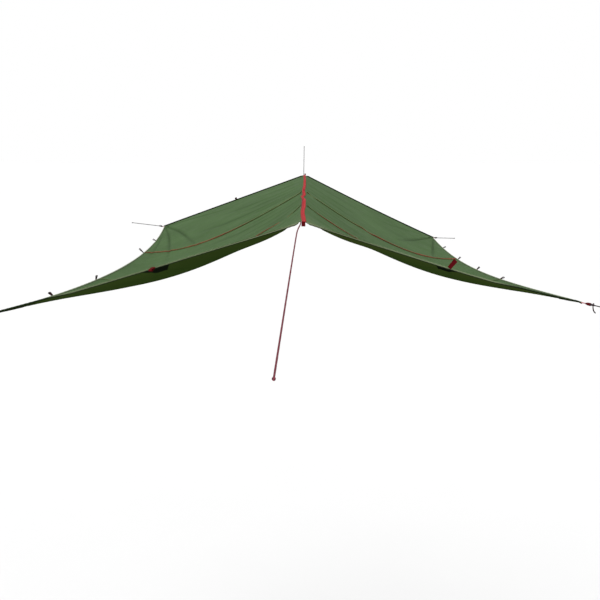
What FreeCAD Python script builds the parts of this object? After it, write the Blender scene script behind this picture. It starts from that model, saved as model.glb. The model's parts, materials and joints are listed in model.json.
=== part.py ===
import FreeCAD, Part
import math
import os
import Sketcher
from FreeCAD import Placement, Rotation, Vector

# Tarp shelter: a rectangular ripstop tarp laid over a tight ridge rope. Millimetres, +Z up.
# The ridge runs along Y with its near end at -Y. The origin is the middle of the ridge seam.
# Two panels slope down from the ridge. Each keeps the curve that its taut edges give it:
# u runs from 0 at the ridge to 1 at the side edge, v from 0 at the near edge to 1 at the far one.

DRIVING = [
    # the four corners and the two side-edge middles, as the lines pull them out
    ("ridge_half", 2250, "half the length of the ridge seam"),
    ("left_near_x", -1439, "near left corner"),
    ("left_near_y", -2295, ""),
    ("left_near_z", -423, ""),
    ("left_far_x", -1395, "far left corner"),
    ("left_far_y", 2167, ""),
    ("left_far_z", -499, ""),
    ("left_middle_x", -1297, "middle of the left side edge, drawn inward by the tension"),
    ("left_middle_y", -9, ""),
    ("left_middle_z", -541, ""),
    ("right_near_x", 1394.5, "near right corner"),
    ("right_near_y", -1942, ""),
    ("right_near_z", -436, ""),
    ("right_far_x", 1322, "far right corner"),
    ("right_far_y", 2496, ""),
    ("right_far_z", -649, ""),
    ("right_middle_x", 1307, "middle of the right side edge"),
    ("right_middle_y", -1, ""),
    ("right_middle_z", -600, ""),
    # the slack in each panel; a share says how much of it lies towards that edge
    ("left_side_near", -0.02, "near share of the side edge's draw-in"),
    ("left_near_sag", 5.8, "sag of the near edge"),
    ("left_near_sag_side", 0.99, "side share of that sag"),
    ("left_near_bow", 13.8, "bow of the near edge past its straight line"),
    ("left_far_sag", 0, "sag of the far edge"),
    ("left_belly", 111.8, "sag of the middle of the panel below its edges"),
    ("left_belly_near", 1.374, "near share of that sag"),
    ("left_belly_side", 0.466, "side share"),
    ("left_belly_twist", -1.016, "side share that changes from the near edge to the far one"),
    ("right_side_near", -0.382, "the same for the right panel"),
    ("right_near_sag", 17.9, ""),
    ("right_near_sag_side", 0.736, ""),
    ("right_near_bow", 16.7, ""),
    ("right_far_sag", 10.2, ""),
    ("right_belly", 125.5, ""),
    ("right_belly_near", 0.52, ""),
    ("right_belly_side", 0.279, ""),
    ("right_belly_twist", -0.799, ""),
    # cloth, hems and seams
    ("cloth_thick", 1.5, "cloth with its coating and folds"),
    ("ridge_gap", 17, "from the ridge line to where a panel starts to turn"),
    ("hem_width", 12, "rolled hem"),
    ("hem_proud", 1.0, "hem above the cloth, and as much below it"),
    ("seam_width", 4, "bound seams across the panels, standing on the cloth"),
    ("far_seam_tall", 10, ""),
    ("near_seam_tall", 6, ""),
    ("far_seam_ridge", 0.47, "the far seam's place at the ridge, as a share of the length"),
    ("left_far_seam_side", 0.64, "its place at each side edge"),
    ("right_far_seam_side", 0.71, ""),
    ("near_seam_ridge", 0.2245, "the same for the near seam"),
    ("left_near_seam_side", 0.33, ""),
    ("right_near_seam_side", 0.37, ""),
    ("patch_thick", 1.0, "reinforcing patches under the cloth"),
    ("patch_wide", 130, ""),
    ("patch_deep", 150, ""),
    ("corner_patch", 190, ""),
    ("left_near_middle", 0.473, "place of the near hem's loop and patch, as a share of the width"),
    ("right_near_middle", 0.496, ""),
    ("far_middle", 0.485, "the same for the far hems"),
    # webbing
    ("band_width", 20, "webbing band along the ridge"),
    ("band_thick", 1.5, ""),
    ("band_rise", 1.0, "underside of the band above the ridge line"),
    ("band_reach", 14, "how far the band runs past each end of the cloth"),
    ("web_thick", 1.5, "one layer of loop webbing"),
    ("web_width", 20, ""),
    ("near_ridge_web_width", 18, "webbing of the near ridge loop"),
    ("narrow_web_width", 14, "webbing of the far ridge loop and the corner loops"),
    ("eye_bore", 3.5, "inside radius of a loop's eye, open enough for a doubled cord"),
    ("short_neck", 20, "sewn neck of a plain loop"),
    ("long_neck", 39, "sewn neck of the longer loops"),
    ("corner_neck", 20, "sewn neck of the corner loops"),
    ("ridge_neck", 12, ""),
    ("middle_neck", 4, ""),
    ("left_first_place", 0.155, "the first side loop's place along the left side edge"),
    ("right_first_place", 0.22, "and along the right one"),
    ("loop_spacing", 0.1625, "from one side loop to the next"),
    ("loop_clear", 0.5, "room for a loop to turn at its root"),
    # cords
    ("rope_radius", 3, "ridge rope"),
    ("rope_side", -12.5, "the rope lies beside the seam, on the left"),
    ("rope_drop", 3.6, "and below it"),
    ("rope_covered", 2255, "half the length of rope that the ridge band covers"),
    ("guy_radius", 3, "guylines"),
    ("near_guy_long", 110, "cord from a near corner loop to its end knot"),
    ("far_left_guy_long", 366, ""),
    ("far_right_guy_long", 291, ""),
    ("knot_scale", 1.7, "knot radius over cord radius"),
    ("knot_length", 4.5, "knot length over cord radius"),
    ("lock_radius", 6, "cord lock on each guyline"),
    ("lock_long", 14, ""),
    ("lock_clear", 0.4, "play of the cord in its lock"),
    ("lock_place", 1.5, "from the loop's eye to the lock"),
    ("tail_long", 34, "loose tail of the near right guyline"),
]

# the rope's two free ends, from where each bends away from the ridge to where it stops
ROPE_NEAR = [Vector(-12.5, -2335, -4.5), Vector(-27, -2400, -19), Vector(-65, -4088, -190)]
ROPE_FAR = [Vector(-12.5, 2440, -3.6), Vector(-11, 3550, 258)]
NEAR_LEFT_PULL = Vector(-0.92, -0.35, -0.17)
NEAR_RIGHT_PULL = Vector(0.92, -0.35, -0.17)
FAR_LEFT_PULL = Vector(-334, 200, 14)
FAR_RIGHT_PULL = Vector(238, 205, -30)
# How far each side loop stands up from its panel's plane, in degrees, from the near end.
SIDE_LOOP_RISE = {"left": (45, 95, -70, 50, 45), "right": (-70, 20, 40, 45, 40)}
FAR_LOOP_RISE = {"left": 60, "right": -60}
LONG_SIDE_LOOPS = ("left_fourth_loop",)

UP = Vector(0, 0, 1)

doc = FreeCAD.newDocument("tarp_shelter")
dims = doc.addObject("Spreadsheet::Sheet", "dims")
for row, (alias, size, note) in enumerate(DRIVING, start=1):
    dims.set(f"A{row}", alias)
    dims.set(f"B{row}", str(size))
    dims.set(f"C{row}", note)
    dims.setAlias(f"B{row}", alias)
doc.recompute()

nodes = []


def size(alias):
    return float(dims.get(alias))


def keep(piece, label):
    """Names a finished sub-part, so that it is checked and written."""
    piece.Label = label
    nodes.append(piece)
    return piece


def blend(a, b, share):
    return a * (1 - share) + b * share


# ---------------------------------------------------------------- the curved panels


def sheet_point(name):
    return Vector(size(name + "_x"), size(name + "_y"), size(name + "_z"))


def cloth_point(side, u, v):
    """A point of a panel's top surface: straight runs between its edges, less its belly."""
    ridge_near = Vector(0, -size("ridge_half"), 0)
    ridge_far = Vector(0, size("ridge_half"), 0)
    corner_near = sheet_point(side + "_near")
    corner_far = sheet_point(side + "_far")
    pull_in = sheet_point(side + "_middle") - blend(corner_near, corner_far, 0.5)
    ridge = blend(ridge_near, ridge_far, v)
    drawn = 4 * v * (1 - v) * (1 + size(side + "_side_near") * (1 - 2 * v))
    side_edge = blend(corner_near, corner_far, v) + pull_in * drawn
    arch = 4 * u * (1 - u)
    near_sag = size(side + "_near_sag") * arch * (1 + size(side + "_near_sag_side") * (2 * u - 1))
    near = blend(ridge_near, corner_near, u) - Vector(0, size(side + "_near_bow") * arch, near_sag)
    far = blend(ridge_far, corner_far, u) - UP * (size(side + "_far_sag") * arch)
    plane = blend(blend(ridge_near, corner_near, u), blend(ridge_far, corner_far, u), v)
    belly = size(side + "_belly") * 16 * u * (1 - u) * v * (1 - v)
    belly *= 1 + size(side + "_belly_near") * (1 - 2 * v)
    side_share = size(side + "_belly_side") + size(side + "_belly_twist") * (1 - 2 * v)
    belly *= 1 + side_share * (2 * u - 1)
    return blend(ridge, side_edge, u) + blend(near, far, v) - plane - UP * belly


def cloth_frame(side, u, v):
    """Directions at a point of a panel: across it, along it, and out of its top."""
    step = 0.002
    across = cloth_point(side, u + step, v) - cloth_point(side, u - step, v)
    along = cloth_point(side, u, v + step) - cloth_point(side, u, v - step)
    outward = across.cross(along)
    if outward.z < 0:
        outward = outward * -1
    return across.normalize(), along.normalize(), outward.normalize()


def lifted(side, place, height):
    u, v = place
    return cloth_point(side, u, v) + cloth_frame(side, u, v)[2] * height


def middle_place(side, end):
    """Where the near or far hem has its middle loop and patch, as a share of the width."""
    return size("far_middle") if end == "far" else size(side + "_near_middle")


def slab(side, first, second, bottom, top, stations=13, across=2):
    """A closed slab on a panel, between two heights above its surface.

    first and second are the slab's two long borders, each a pair of (u, v) places.
    """
    faces = []
    borders = []
    for height in (top, bottom):
        grid = []
        for station in range(stations):
            share = station / (stations - 1)
            start = [blend(first[0][axis], first[1][axis], share) for axis in (0, 1)]
            end = [blend(second[0][axis], second[1][axis], share) for axis in (0, 1)]
            steps = [step / (across - 1) for step in range(across)]
            places = [[blend(start[axis], end[axis], part) for axis in (0, 1)] for part in steps]
            grid.append([lifted(side, place, height) for place in places])
        surface = Part.BSplineSurface()
        surface.interpolate(grid)
        faces.append(surface.toShape())
        low_u, high_u, low_v, high_v = surface.bounds()
        sides = [surface.vIso(low_v), surface.vIso(high_v), surface.uIso(low_u), surface.uIso(high_u)]
        borders.append([curve.toShape() for curve in sides])
    for upper, lower in zip(*borders):
        faces.append(Part.makeRuledSurface(upper, lower))
    shell = Part.makeShell(faces)
    shell.sewShape()
    solid = Part.makeSolid(shell)
    if solid.Volume < 0:
        solid.reverse()
    return solid


def cloth_piece(label, shape):
    piece = doc.addObject("Part::Feature", label)
    piece.Shape = shape
    piece.Placement = Placement()
    return keep(piece, label)


def panel_parts(side):
    """One panel with its hems, cross seams and reinforcing patches."""
    thick = size("cloth_thick")
    width = cloth_point(side, 1, 0.5).Length
    length = 2 * size("ridge_half")
    inner = size("ridge_gap") / width
    hem_u = size("hem_width") / width
    hem_v = size("hem_width") / length
    outer = 1 - hem_u
    last = 1 - hem_v
    proud = size("hem_proud")

    ridge_line = [(inner, hem_v), (inner, last)]
    side_line = [(outer, hem_v), (outer, last)]
    cloth_piece(f"{side}_panel", slab(side, ridge_line, side_line, -thick, 0, stations=13, across=9))

    hems = {
        "near": ([(inner, 0), (outer, 0)], [(inner, hem_v), (outer, hem_v)]),
        "far": ([(inner, last), (outer, last)], [(inner, 1), (outer, 1)]),
        "side": ([(outer, 0), (outer, 1)], [(1, 0), (1, 1)]),
    }
    for name, (first, second) in hems.items():
        cloth_piece(f"{side}_{name}_hem", slab(side, first, second, -thick - proud, proud))

    half_seam = size("seam_width") / length / 2
    for name in ("near", "far"):
        start = size(name + "_seam_ridge")
        end = size(f"{side}_{name}_seam_side")
        nearer = [(inner, start - half_seam), (outer, end - half_seam)]
        farther = [(inner, start + half_seam), (outer, end + half_seam)]
        tall = size(name + "_seam_tall")
        cloth_piece(f"{side}_{name}_seam", slab(side, nearer, farther, 0, tall))

    patch_bottom = -thick - size("patch_thick")
    half_wide = size("patch_wide") / width / 2
    corner_u = size("corner_patch") / width
    for name, border, inward in (("near", hem_v, 1), ("far", last, -1)):
        tip = border + inward * size("patch_deep") / length
        corner_tip = border + inward * size("corner_patch") / length
        middle = middle_place(side, name)
        patches = {
            "middle": (
                [(middle - half_wide, border), (middle - half_wide / 3, tip)],
                [(middle + half_wide, border), (middle + half_wide / 3, tip)],
            ),
            "corner": (
                [(outer - corner_u, border), (outer - corner_u / 8, corner_tip)],
                [(outer, border), (outer, corner_tip)],
            ),
        }
        for place, (first, second) in patches.items():
            shape = slab(side, first, second, patch_bottom, -thick, stations=5, across=5)
            cloth_piece(f"{side}_{name}_{place}_patch", shape)


# ---------------------------------------------------------------- webbing


def webbing_loop(label, neck, width, root, reach, axis):
    """A strip of webbing folded into a round eye and sewn to itself along its neck.

    The root is where the neck is sewn on, reach the way it points, and axis the eye's axis.
    """
    body = doc.addObject("PartDesign::Body", label)
    sketch = body.newObject("Sketcher::SketchObject", label + "_side")
    plane = [item for item in body.Origin.OriginFeatures if item.Role == "XY_Plane"][0]
    sketch.AttachmentSupport = [(plane, "")]
    sketch.MapMode = "FlatFace"

    layer = size("web_thick")
    outside = size("eye_bore") + layer
    middle = size(neck) + outside
    meet = middle - math.sqrt(outside**2 - layer**2)
    opening = math.asin(layer / outside)
    eye = Part.Circle(Vector(middle, 0, 0), UP, outside)
    outline = [
        Part.LineSegment(Vector(0, -layer, 0), Vector(meet, -layer, 0)),
        Part.ArcOfCircle(eye, -math.pi + opening, math.pi - opening),
        Part.LineSegment(Vector(meet, layer, 0), Vector(0, layer, 0)),
        Part.LineSegment(Vector(0, layer, 0), Vector(0, -layer, 0)),
        Part.Circle(Vector(middle, 0, 0), UP, size("eye_bore")),
    ]
    lower, arc, upper, root_edge, bore = sketch.addGeometry(outline, False)
    start, end, centre = 1, 2, 3
    rules = [
        Sketcher.Constraint("Coincident", lower, end, arc, start),
        Sketcher.Constraint("Coincident", arc, end, upper, start),
        Sketcher.Constraint("Coincident", upper, end, root_edge, start),
        Sketcher.Constraint("Coincident", root_edge, end, lower, start),
        Sketcher.Constraint("Coincident", arc, centre, bore, centre),
        Sketcher.Constraint("Horizontal", lower),
        Sketcher.Constraint("Horizontal", upper),
        Sketcher.Constraint("Symmetric", lower, start, upper, end, -1, 1),
        Sketcher.Constraint("PointOnObject", arc, centre, -1),
    ]
    sketch.addConstraint(rules)
    sketch.addConstraint(Sketcher.Constraint("DistanceY", lower, start, upper, end, 2 * layer))
    sketch.renameConstraint(len(rules), "neck_thick")
    sketch.addConstraint(Sketcher.Constraint("Radius", arc, outside))
    sketch.renameConstraint(len(rules) + 1, "eye_outside")
    sketch.addConstraint(Sketcher.Constraint("Radius", bore, size("eye_bore")))
    sketch.renameConstraint(len(rules) + 2, "eye_inside")
    sketch.addConstraint(Sketcher.Constraint("DistanceX", -1, 1, arc, centre, middle))
    sketch.renameConstraint(len(rules) + 3, "eye_middle")
    sketch.setExpression("Constraints.neck_thick", "2 * dims.web_thick")
    sketch.setExpression("Constraints.eye_outside", "dims.eye_bore + dims.web_thick")
    sketch.setExpression("Constraints.eye_inside", "dims.eye_bore")
    sketch.setExpression("Constraints.eye_middle", f"dims.{neck} + dims.eye_bore + dims.web_thick")

    pad = body.newObject("PartDesign::Pad", label + "_width")
    pad.Profile = sketch
    pad.setExpression("Length", f"dims.{width}")
    body.Tip = pad
    reach = Vector(reach).normalize()
    axis = Vector(axis).normalize()
    corner = root - axis * (size(width) / 2)
    body.Placement = Placement(corner, Rotation(reach, axis.cross(reach), axis, "ZXY"))
    return keep(body, label)


def hem_loop(label, side, u, v, neck, rise, lean=0):
    """A loop sewn to a hem, pointing away from the cloth and raised by some degrees.

    It can also lean by some degrees along the hem.
    """
    across, along, outward = cloth_frame(side, u, v)
    if u == 1:
        away = across
        axis = along
    else:
        away = along * (-1 if v == 0 else 1)
        axis = across
    axis = (axis - outward * axis.dot(outward)).normalize()
    away = (away - axis * away.dot(axis)).normalize()
    reach = away * math.cos(math.radians(rise)) + outward * math.sin(math.radians(rise))
    leaning = Rotation(axis.cross(reach), -lean)
    reach = leaning.multVec(reach)
    axis = leaning.multVec(axis)
    leaning_corner = size("web_width") / 2 * math.sin(math.radians(lean)) * math.cos(math.radians(rise))
    clear = size("hem_proud") + size("web_thick") + leaning_corner
    root = cloth_point(side, u, v) + away * clear
    return webbing_loop(label, neck, "web_width", root, reach, axis)


def ridge_webbing():
    band = doc.addObject("Part::Box", "ridge_band_strip")
    band.setExpression("Length", "dims.band_width")
    band.setExpression("Width", "2 * (dims.ridge_half + dims.band_reach)")
    band.setExpression("Height", "dims.band_thick")
    band.Placement = Placement(
        Vector(-size("band_width") / 2, -size("ridge_half") - size("band_reach"), size("band_rise")),
        Rotation(),
    )
    keep(band, "ridge_band")

    level = size("band_rise") + size("band_thick") / 2
    past = size("ridge_half") + size("band_reach") + size("web_thick") + size("loop_clear")
    beside = (size("band_width") - size("narrow_web_width")) / 2 - 1
    near_root = Vector(0, -past, level)
    near_reach = Vector(0, -0.2, -1)
    width = "near_ridge_web_width"
    webbing_loop("near_ridge_loop", "ridge_neck", width, near_root, near_reach, Vector(1, 0, 0))
    far_root = Vector(beside, past, level)
    far_reach = Vector(0, 1, 0.6)
    webbing_loop("far_ridge_loop", "ridge_neck", "narrow_web_width", far_root, far_reach, Vector(1, 0, 0))
    seam_crossing = size("ridge_half") * (2 * size("far_seam_ridge") - 1)
    above = size("band_rise") + size("band_thick") + size("web_thick") + size("loop_clear")
    middle_root = Vector(0, seam_crossing, above)
    lying = Vector(-0.5, 0, 1)
    webbing_loop("middle_ridge_loop", "middle_neck", "web_width", middle_root, lying, Vector(0, 1, 0))


# ---------------------------------------------------------------- cords and their fittings


def cord_tube(label, route, radius):
    """A round cord: straight runs joined by tangent arcs as large as the runs allow."""
    edges = []
    start = route[0]
    for before, corner, after in zip(route, route[1:], route[2:]):
        inward = (corner - before).normalize()
        outward = (after - corner).normalize()
        half_turn = inward.getAngle(outward) / 2
        reach = 0.45 * min((corner - before).Length, (after - corner).Length)
        bend = reach / math.tan(half_turn)
        arc_start = corner - inward * reach
        arc_end = corner + outward * reach
        to_centre = (outward - inward).normalize()
        middle = corner + to_centre * (bend / math.cos(half_turn) - bend)
        edges.append(Part.LineSegment(start, arc_start).toShape())
        edges.append(Part.Arc(arc_start, middle, arc_end).toShape())
        start = arc_end
        print(f"{label}: bend radius {bend:.0f} mm")
    edges.append(Part.LineSegment(start, route[-1]).toShape())
    path = Part.Wire(edges)
    direction = (route[1] - route[0]).normalize()
    section = Part.Wire([Part.Circle(route[0], direction, radius).toShape()])
    tube = path.makePipeShell([section], True, False)
    expected = math.pi * radius**2 * path.Length
    print(f"{label}: length {path.Length:.0f} mm, volume over expected {tube.Volume / expected:.4f}")
    piece = doc.addObject("Part::Feature", label)
    piece.Shape = tube
    piece.Placement = Placement()
    return keep(piece, label)


def round_piece(label, base, direction, radius, length):
    """A short round piece whose radius and length are expressions of the sheet."""
    piece = doc.addObject("Part::Cylinder", label)
    piece.setExpression("Radius", radius)
    piece.setExpression("Height", length)
    piece.Placement = Placement(base, Rotation(UP, direction))
    return piece


def end_knot(label, end, direction, cord_radius):
    radius = f"dims.{cord_radius} * dims.knot_scale"
    length = f"dims.{cord_radius} * dims.knot_length"
    keep(round_piece(label, end, direction, radius, length), label)


def ridge_rope():
    """One rope in three solids end to end: the run under the ridge and the two free ends."""
    radius = size("rope_radius")
    cord_tube("ridge_rope", [rope_point(-size("rope_covered")), rope_point(size("rope_covered"))], radius)
    for name, side, places in (("near", -1, ROPE_NEAR), ("far", 1, ROPE_FAR)):
        route = [rope_point(side * size("rope_covered")), *places]
        cord_tube(f"rope_{name}_run", route, radius)
        end_knot(f"rope_{name}_knot", route[-1], route[-1] - route[-2], "rope_radius")


def rope_point(along):
    return Vector(size("rope_side"), along, -size("rope_drop"))


def cord_lock(label, base, direction):
    barrel = round_piece(label + "_barrel", base, direction, "dims.lock_radius", "dims.lock_long")
    bore_radius = "dims.guy_radius + dims.lock_clear"
    bore = round_piece(label + "_bore", base, direction, bore_radius, "dims.lock_long")
    lock = doc.addObject("Part::Cut", label)
    lock.Base = barrel
    lock.Tool = bore
    return keep(lock, label)


def corner_tackle(label, side, v, pull, cord_long):
    """What holds a corner out: a long loop, and a guyline with its lock and end knot."""
    pull = Vector(pull).normalize()
    corner = cloth_point(side, 1, v)
    axis = pull.cross(UP).normalize()
    root = corner + pull * (size("hem_width") + size("web_thick"))
    webbing_loop(f"{label}_loop", "corner_neck", "narrow_web_width", root, pull, axis)
    eye_end = root + pull * (size("corner_neck") + 2 * (size("eye_bore") + size("web_thick")))
    start = eye_end + pull * 0.2
    end = start + pull * size(cord_long)
    cord_tube(f"{label}_guyline", [start, end], size("guy_radius"))
    end_knot(f"{label}_guy_knot", end, pull, "guy_radius")
    lock_base = start + pull * size("lock_place")
    cord_lock(f"{label}_cord_lock", lock_base, pull)
    return lock_base + pull * (size("lock_long") / 2)


def all_corner_tackle():
    corner_tackle("near_left", "left", 0, NEAR_LEFT_PULL, "near_guy_long")
    middle = corner_tackle("near_right", "right", 0, NEAR_RIGHT_PULL, "near_guy_long")
    corner_tackle("far_left", "left", 1, FAR_LEFT_PULL, "far_left_guy_long")
    corner_tackle("far_right", "right", 1, FAR_RIGHT_PULL, "far_right_guy_long")
    tilt = math.asin(abs(Vector(NEAR_RIGHT_PULL).normalize().z))
    drop = size("lock_radius") / math.cos(tilt) + size("guy_radius") * math.tan(tilt) + size("loop_clear")
    below = middle - UP * drop
    cord_tube("near_right_tail", [below, below - UP * size("tail_long")], size("guy_radius"))


def edge_loops():
    side_names = ("first", "second", "third", "fourth", "fifth")
    for side in ("left", "right"):
        for number, name in enumerate(side_names):
            label = f"{side}_{name}_loop"
            place = size(side + "_first_place") + number * size("loop_spacing")
            neck = "long_neck" if label in LONG_SIDE_LOOPS else "short_neck"
            hem_loop(label, side, 1, place, neck, SIDE_LOOP_RISE[side][number])
        hem_loop(f"{side}_far_loop", side, middle_place(side, "far"), 1, "short_neck", FAR_LOOP_RISE[side])
    hem_loop("left_near_loop", "left", middle_place("left", "near"), 0, "short_neck", -35, 35)
    hem_loop("right_near_loop", "right", middle_place("right", "near"), 0, "long_neck", 80, 24)


panel_parts("left")
panel_parts("right")
ridge_webbing()
edge_loops()
ridge_rope()
all_corner_tackle()
doc.recompute()

# ---------------------------------------------------------------- checks and files

for item in doc.Objects:
    if "Invalid" in item.State or "Error" in item.State:
        raise RuntimeError(f"{item.Label} did not compute: {item.State}")
for piece in nodes:
    if piece.Shape.isNull() or not piece.Shape.isValid():
        raise RuntimeError(f"{piece.Label} has no valid shape")
    if len(piece.Shape.Solids) < 1:
        raise RuntimeError(f"{piece.Label} is not a solid")
    if piece.Shape.Volume <= 0:
        raise RuntimeError(f"{piece.Label} is inside out")

os.makedirs("parts", exist_ok=True)
for piece in nodes:
    piece.Shape.exportStep(f"parts/{piece.Label}.step")
print(f"{len(nodes)} nodes written")
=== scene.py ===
import json
import math

import bpy
import numpy as np
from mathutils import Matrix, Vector


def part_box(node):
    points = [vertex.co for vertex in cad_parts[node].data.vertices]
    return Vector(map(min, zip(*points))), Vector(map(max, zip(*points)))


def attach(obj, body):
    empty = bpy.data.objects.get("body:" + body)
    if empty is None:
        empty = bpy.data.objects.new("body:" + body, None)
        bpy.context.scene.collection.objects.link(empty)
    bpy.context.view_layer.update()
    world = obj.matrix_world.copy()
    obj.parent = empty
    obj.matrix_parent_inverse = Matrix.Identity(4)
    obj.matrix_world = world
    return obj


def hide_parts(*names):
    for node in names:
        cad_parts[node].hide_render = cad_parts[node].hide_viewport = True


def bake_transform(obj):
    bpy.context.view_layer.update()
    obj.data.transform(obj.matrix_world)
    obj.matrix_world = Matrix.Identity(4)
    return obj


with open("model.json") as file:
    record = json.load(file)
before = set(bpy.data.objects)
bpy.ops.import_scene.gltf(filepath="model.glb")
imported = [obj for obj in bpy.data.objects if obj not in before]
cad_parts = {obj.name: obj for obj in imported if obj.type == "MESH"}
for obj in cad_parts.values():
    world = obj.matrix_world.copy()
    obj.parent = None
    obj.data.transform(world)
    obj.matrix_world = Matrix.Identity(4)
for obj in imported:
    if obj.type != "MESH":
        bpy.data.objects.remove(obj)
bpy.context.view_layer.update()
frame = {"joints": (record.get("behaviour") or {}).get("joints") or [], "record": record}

# Tarp shelter over a tight ridge rope, in metres. The ridge lies along Y, its near end at -Y.
# Every webbing loop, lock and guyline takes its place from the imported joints, mounts and nodes.
# The rope's route is a list of points. On a panel, u runs from the ridge to the side edge and v from
# its near end to its far end, both from 0 to 1.

RECORD = frame["record"]
JOINTS = {joint["name"]: joint for joint in frame["joints"]}
MOUNTS = {mount["name"]: mount for mount in RECORD["mounts"]}

RIDGE_HALF = 2.25
CLOTH_THICK = 0.0012
CLOTH_LENGTH = 4.5
CLOTH_WIDTH = 1.5
HEM_WIDTH = 0.012
HEM_THICK = 0.0034
FAR_SEAM_TALL = 0.010
NEAR_SEAM_TALL = 0.006
SEAM_THICK = 0.0042
BAND_WIDTH = 0.020
BAND_THICK = 0.0016
PATCH_THICK = 0.0008
MIDDLE_PATCH_WIDE = 0.130
MIDDLE_PATCH_DEEP = 0.150
CORNER_PATCH_REACH = 0.190
LOOP_THICK = 0.0014
SOLID_LOOP_THICK = 0.0015
LOOP_EYE_RADIUS = 0.0035
CORNER_WEB_WIDTH = 0.014
ROPE_RADIUS = 0.003
ROPE_SIDE = -0.0125
ROPE_HEIGHT = -0.0036
PANELS = {
    "left": {
        "near": (-1.439, -2.295, -0.423),
        "far": (-1.395, 2.167, -0.499),
        "middle": (-1.297, -0.009, -0.541),
        "side_near": -0.02,
        "near_sag": 0.0058,
        "near_sag_side": 0.99,
        "near_bow": 0.0138,
        "far_sag": 0.0,
        "belly": 0.1118,
        "belly_near": 1.374,
        "belly_side": 0.466,
        "belly_twist": -1.016,
        "near_seam": (0.2245, 0.33),
        "far_seam": (0.47, 0.64),
        "near_middle": 0.473,
        "far_middle": 0.485,
    },
    "right": {
        "near": (1.3945, -1.942, -0.436),
        "far": (1.322, 2.496, -0.649),
        "middle": (1.307, -0.001, -0.600),
        "side_near": -0.382,
        "near_sag": 0.0179,
        "near_sag_side": 0.736,
        "near_bow": 0.0167,
        "far_sag": 0.0102,
        "belly": 0.1255,
        "belly_near": 0.52,
        "belly_side": 0.279,
        "belly_twist": -0.799,
        "near_seam": (0.2245, 0.37),
        "far_seam": (0.47, 0.71),
        "near_middle": 0.496,
        "far_middle": 0.485,
    },
}
RED = (0.44, 0.030, 0.034)
# Painted shade: the loops' red webbing, darker where it is seen on its shaded side and darkest on the side
# loops.
LOOP_RED_IN_SHADE = (0.115, 0.004, 0.007)
SHADED_RED = (0.030, 0.003, 0.004)
SEAM_RED = (0.34, 0.095, 0.060)
# Painted light: the seams' pale green is lightened against the shade on their upright faces.
FAINT_SEAM_PAINTED_LIGHT = (0.150, 0.195, 0.085)
LEAF_GREEN = (0.066, 0.118, 0.046)
# Painted shade: the cloth's underside is painted a darker green for the shade beneath the tarp.
UNDER_GREEN_IN_SHADE = (0.020, 0.038, 0.007)
# Painted shade for the hems: the far hems' colour, the near hems' lower side and turned-up tips, and the
# groove behind each standing roll.
HEM_SHADE = (0.006, 0.013, 0.004)

# ---------------------------------------------------------------- node materials


class Nodes:
    """A material's node tree, with short calls for the nodes that the finishes share."""

    def __init__(self, name):
        self.material = bpy.data.materials.new(name)
        self.material.use_nodes = True
        self.tree = self.material.node_tree
        self.tree.nodes.clear()
        self.output = self.tree.nodes.new("ShaderNodeOutputMaterial")
        self.shader = self.tree.nodes.new("ShaderNodeBsdfPrincipled")
        self.link(self.shader.outputs[0], self.output.inputs["Surface"])

    def link(self, source, target):
        self.tree.links.new(source, target)

    def add(self, kind, **settings):
        node = self.tree.nodes.new(kind)
        for key, value in settings.items():
            setattr(node, key, value)
        return node

    def put(self, socket, value):
        if isinstance(value, bpy.types.NodeSocket):
            self.link(value, socket)
        else:
            socket.default_value = value

    def math(self, operation, a, b=0.0, clamp=False):
        node = self.add("ShaderNodeMath", operation=operation, use_clamp=clamp)
        self.put(node.inputs[0], a)
        self.put(node.inputs[1], b)
        return node.outputs[0]

    def lay(self):
        """The mesh's own lay attribute, in metres: x along the piece and y across it."""
        attribute = self.add("ShaderNodeAttribute", attribute_name="lay")
        split = self.add("ShaderNodeSeparateXYZ")
        self.link(attribute.outputs["Vector"], split.inputs[0])
        return split.outputs[0], split.outputs[1]

    def place(self):
        return self.add("ShaderNodeTexCoord").outputs["Object"]

    def noise(self, vector, scale, detail=3.0, roughness=0.55):
        node = self.add("ShaderNodeTexNoise")
        self.link(vector, node.inputs["Vector"])
        node.inputs["Scale"].default_value = scale
        node.inputs["Detail"].default_value = detail
        node.inputs["Roughness"].default_value = roughness
        return node.outputs[0]

    def ribs(self, along, period):
        """A wave of 0 to 1 that repeats each period of metres."""
        turn = self.math("MULTIPLY", along, 2 * math.pi / period)
        return self.math("ADD", self.math("MULTIPLY", self.math("SINE", turn), 0.5), 0.5)

    def stretch(self, value, low, high, to_low, to_high):
        node = self.add("ShaderNodeMapRange")
        self.put(node.inputs["Value"], value)
        for key, number in (("From Min", low), ("From Max", high), ("To Min", to_low), ("To Max", to_high)):
            node.inputs[key].default_value = number
        return node.outputs[0]

    def mix(self, share, first, second):
        node = self.add("ShaderNodeMix", data_type="RGBA")
        self.put(node.inputs[0], share)
        for socket, value in ((node.inputs[6], first), (node.inputs[7], second)):
            self.put(socket, (*value, 1.0) if isinstance(value, tuple) else value)
        return node.outputs[2]

    def bump(self, height, strength, distance, below=None):
        node = self.add("ShaderNodeBump")
        node.inputs["Strength"].default_value = strength
        node.inputs["Distance"].default_value = distance
        self.link(height, node.inputs["Height"])
        if below is not None:
            self.link(below, node.inputs["Normal"])
        return node.outputs[0]

    def finish(self, colour, roughness, normal=None, sheen=0.0, specular=0.5):
        self.put(self.shader.inputs["Base Color"], colour)
        self.put(self.shader.inputs["Roughness"], roughness)
        self.shader.inputs["Sheen Weight"].default_value = sheen
        self.shader.inputs["Specular IOR Level"].default_value = specular
        if normal is not None:
            self.link(normal, self.shader.inputs["Normal"])
        return self.material


def darker(colour, share):
    return tuple(channel * share for channel in colour)


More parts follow.
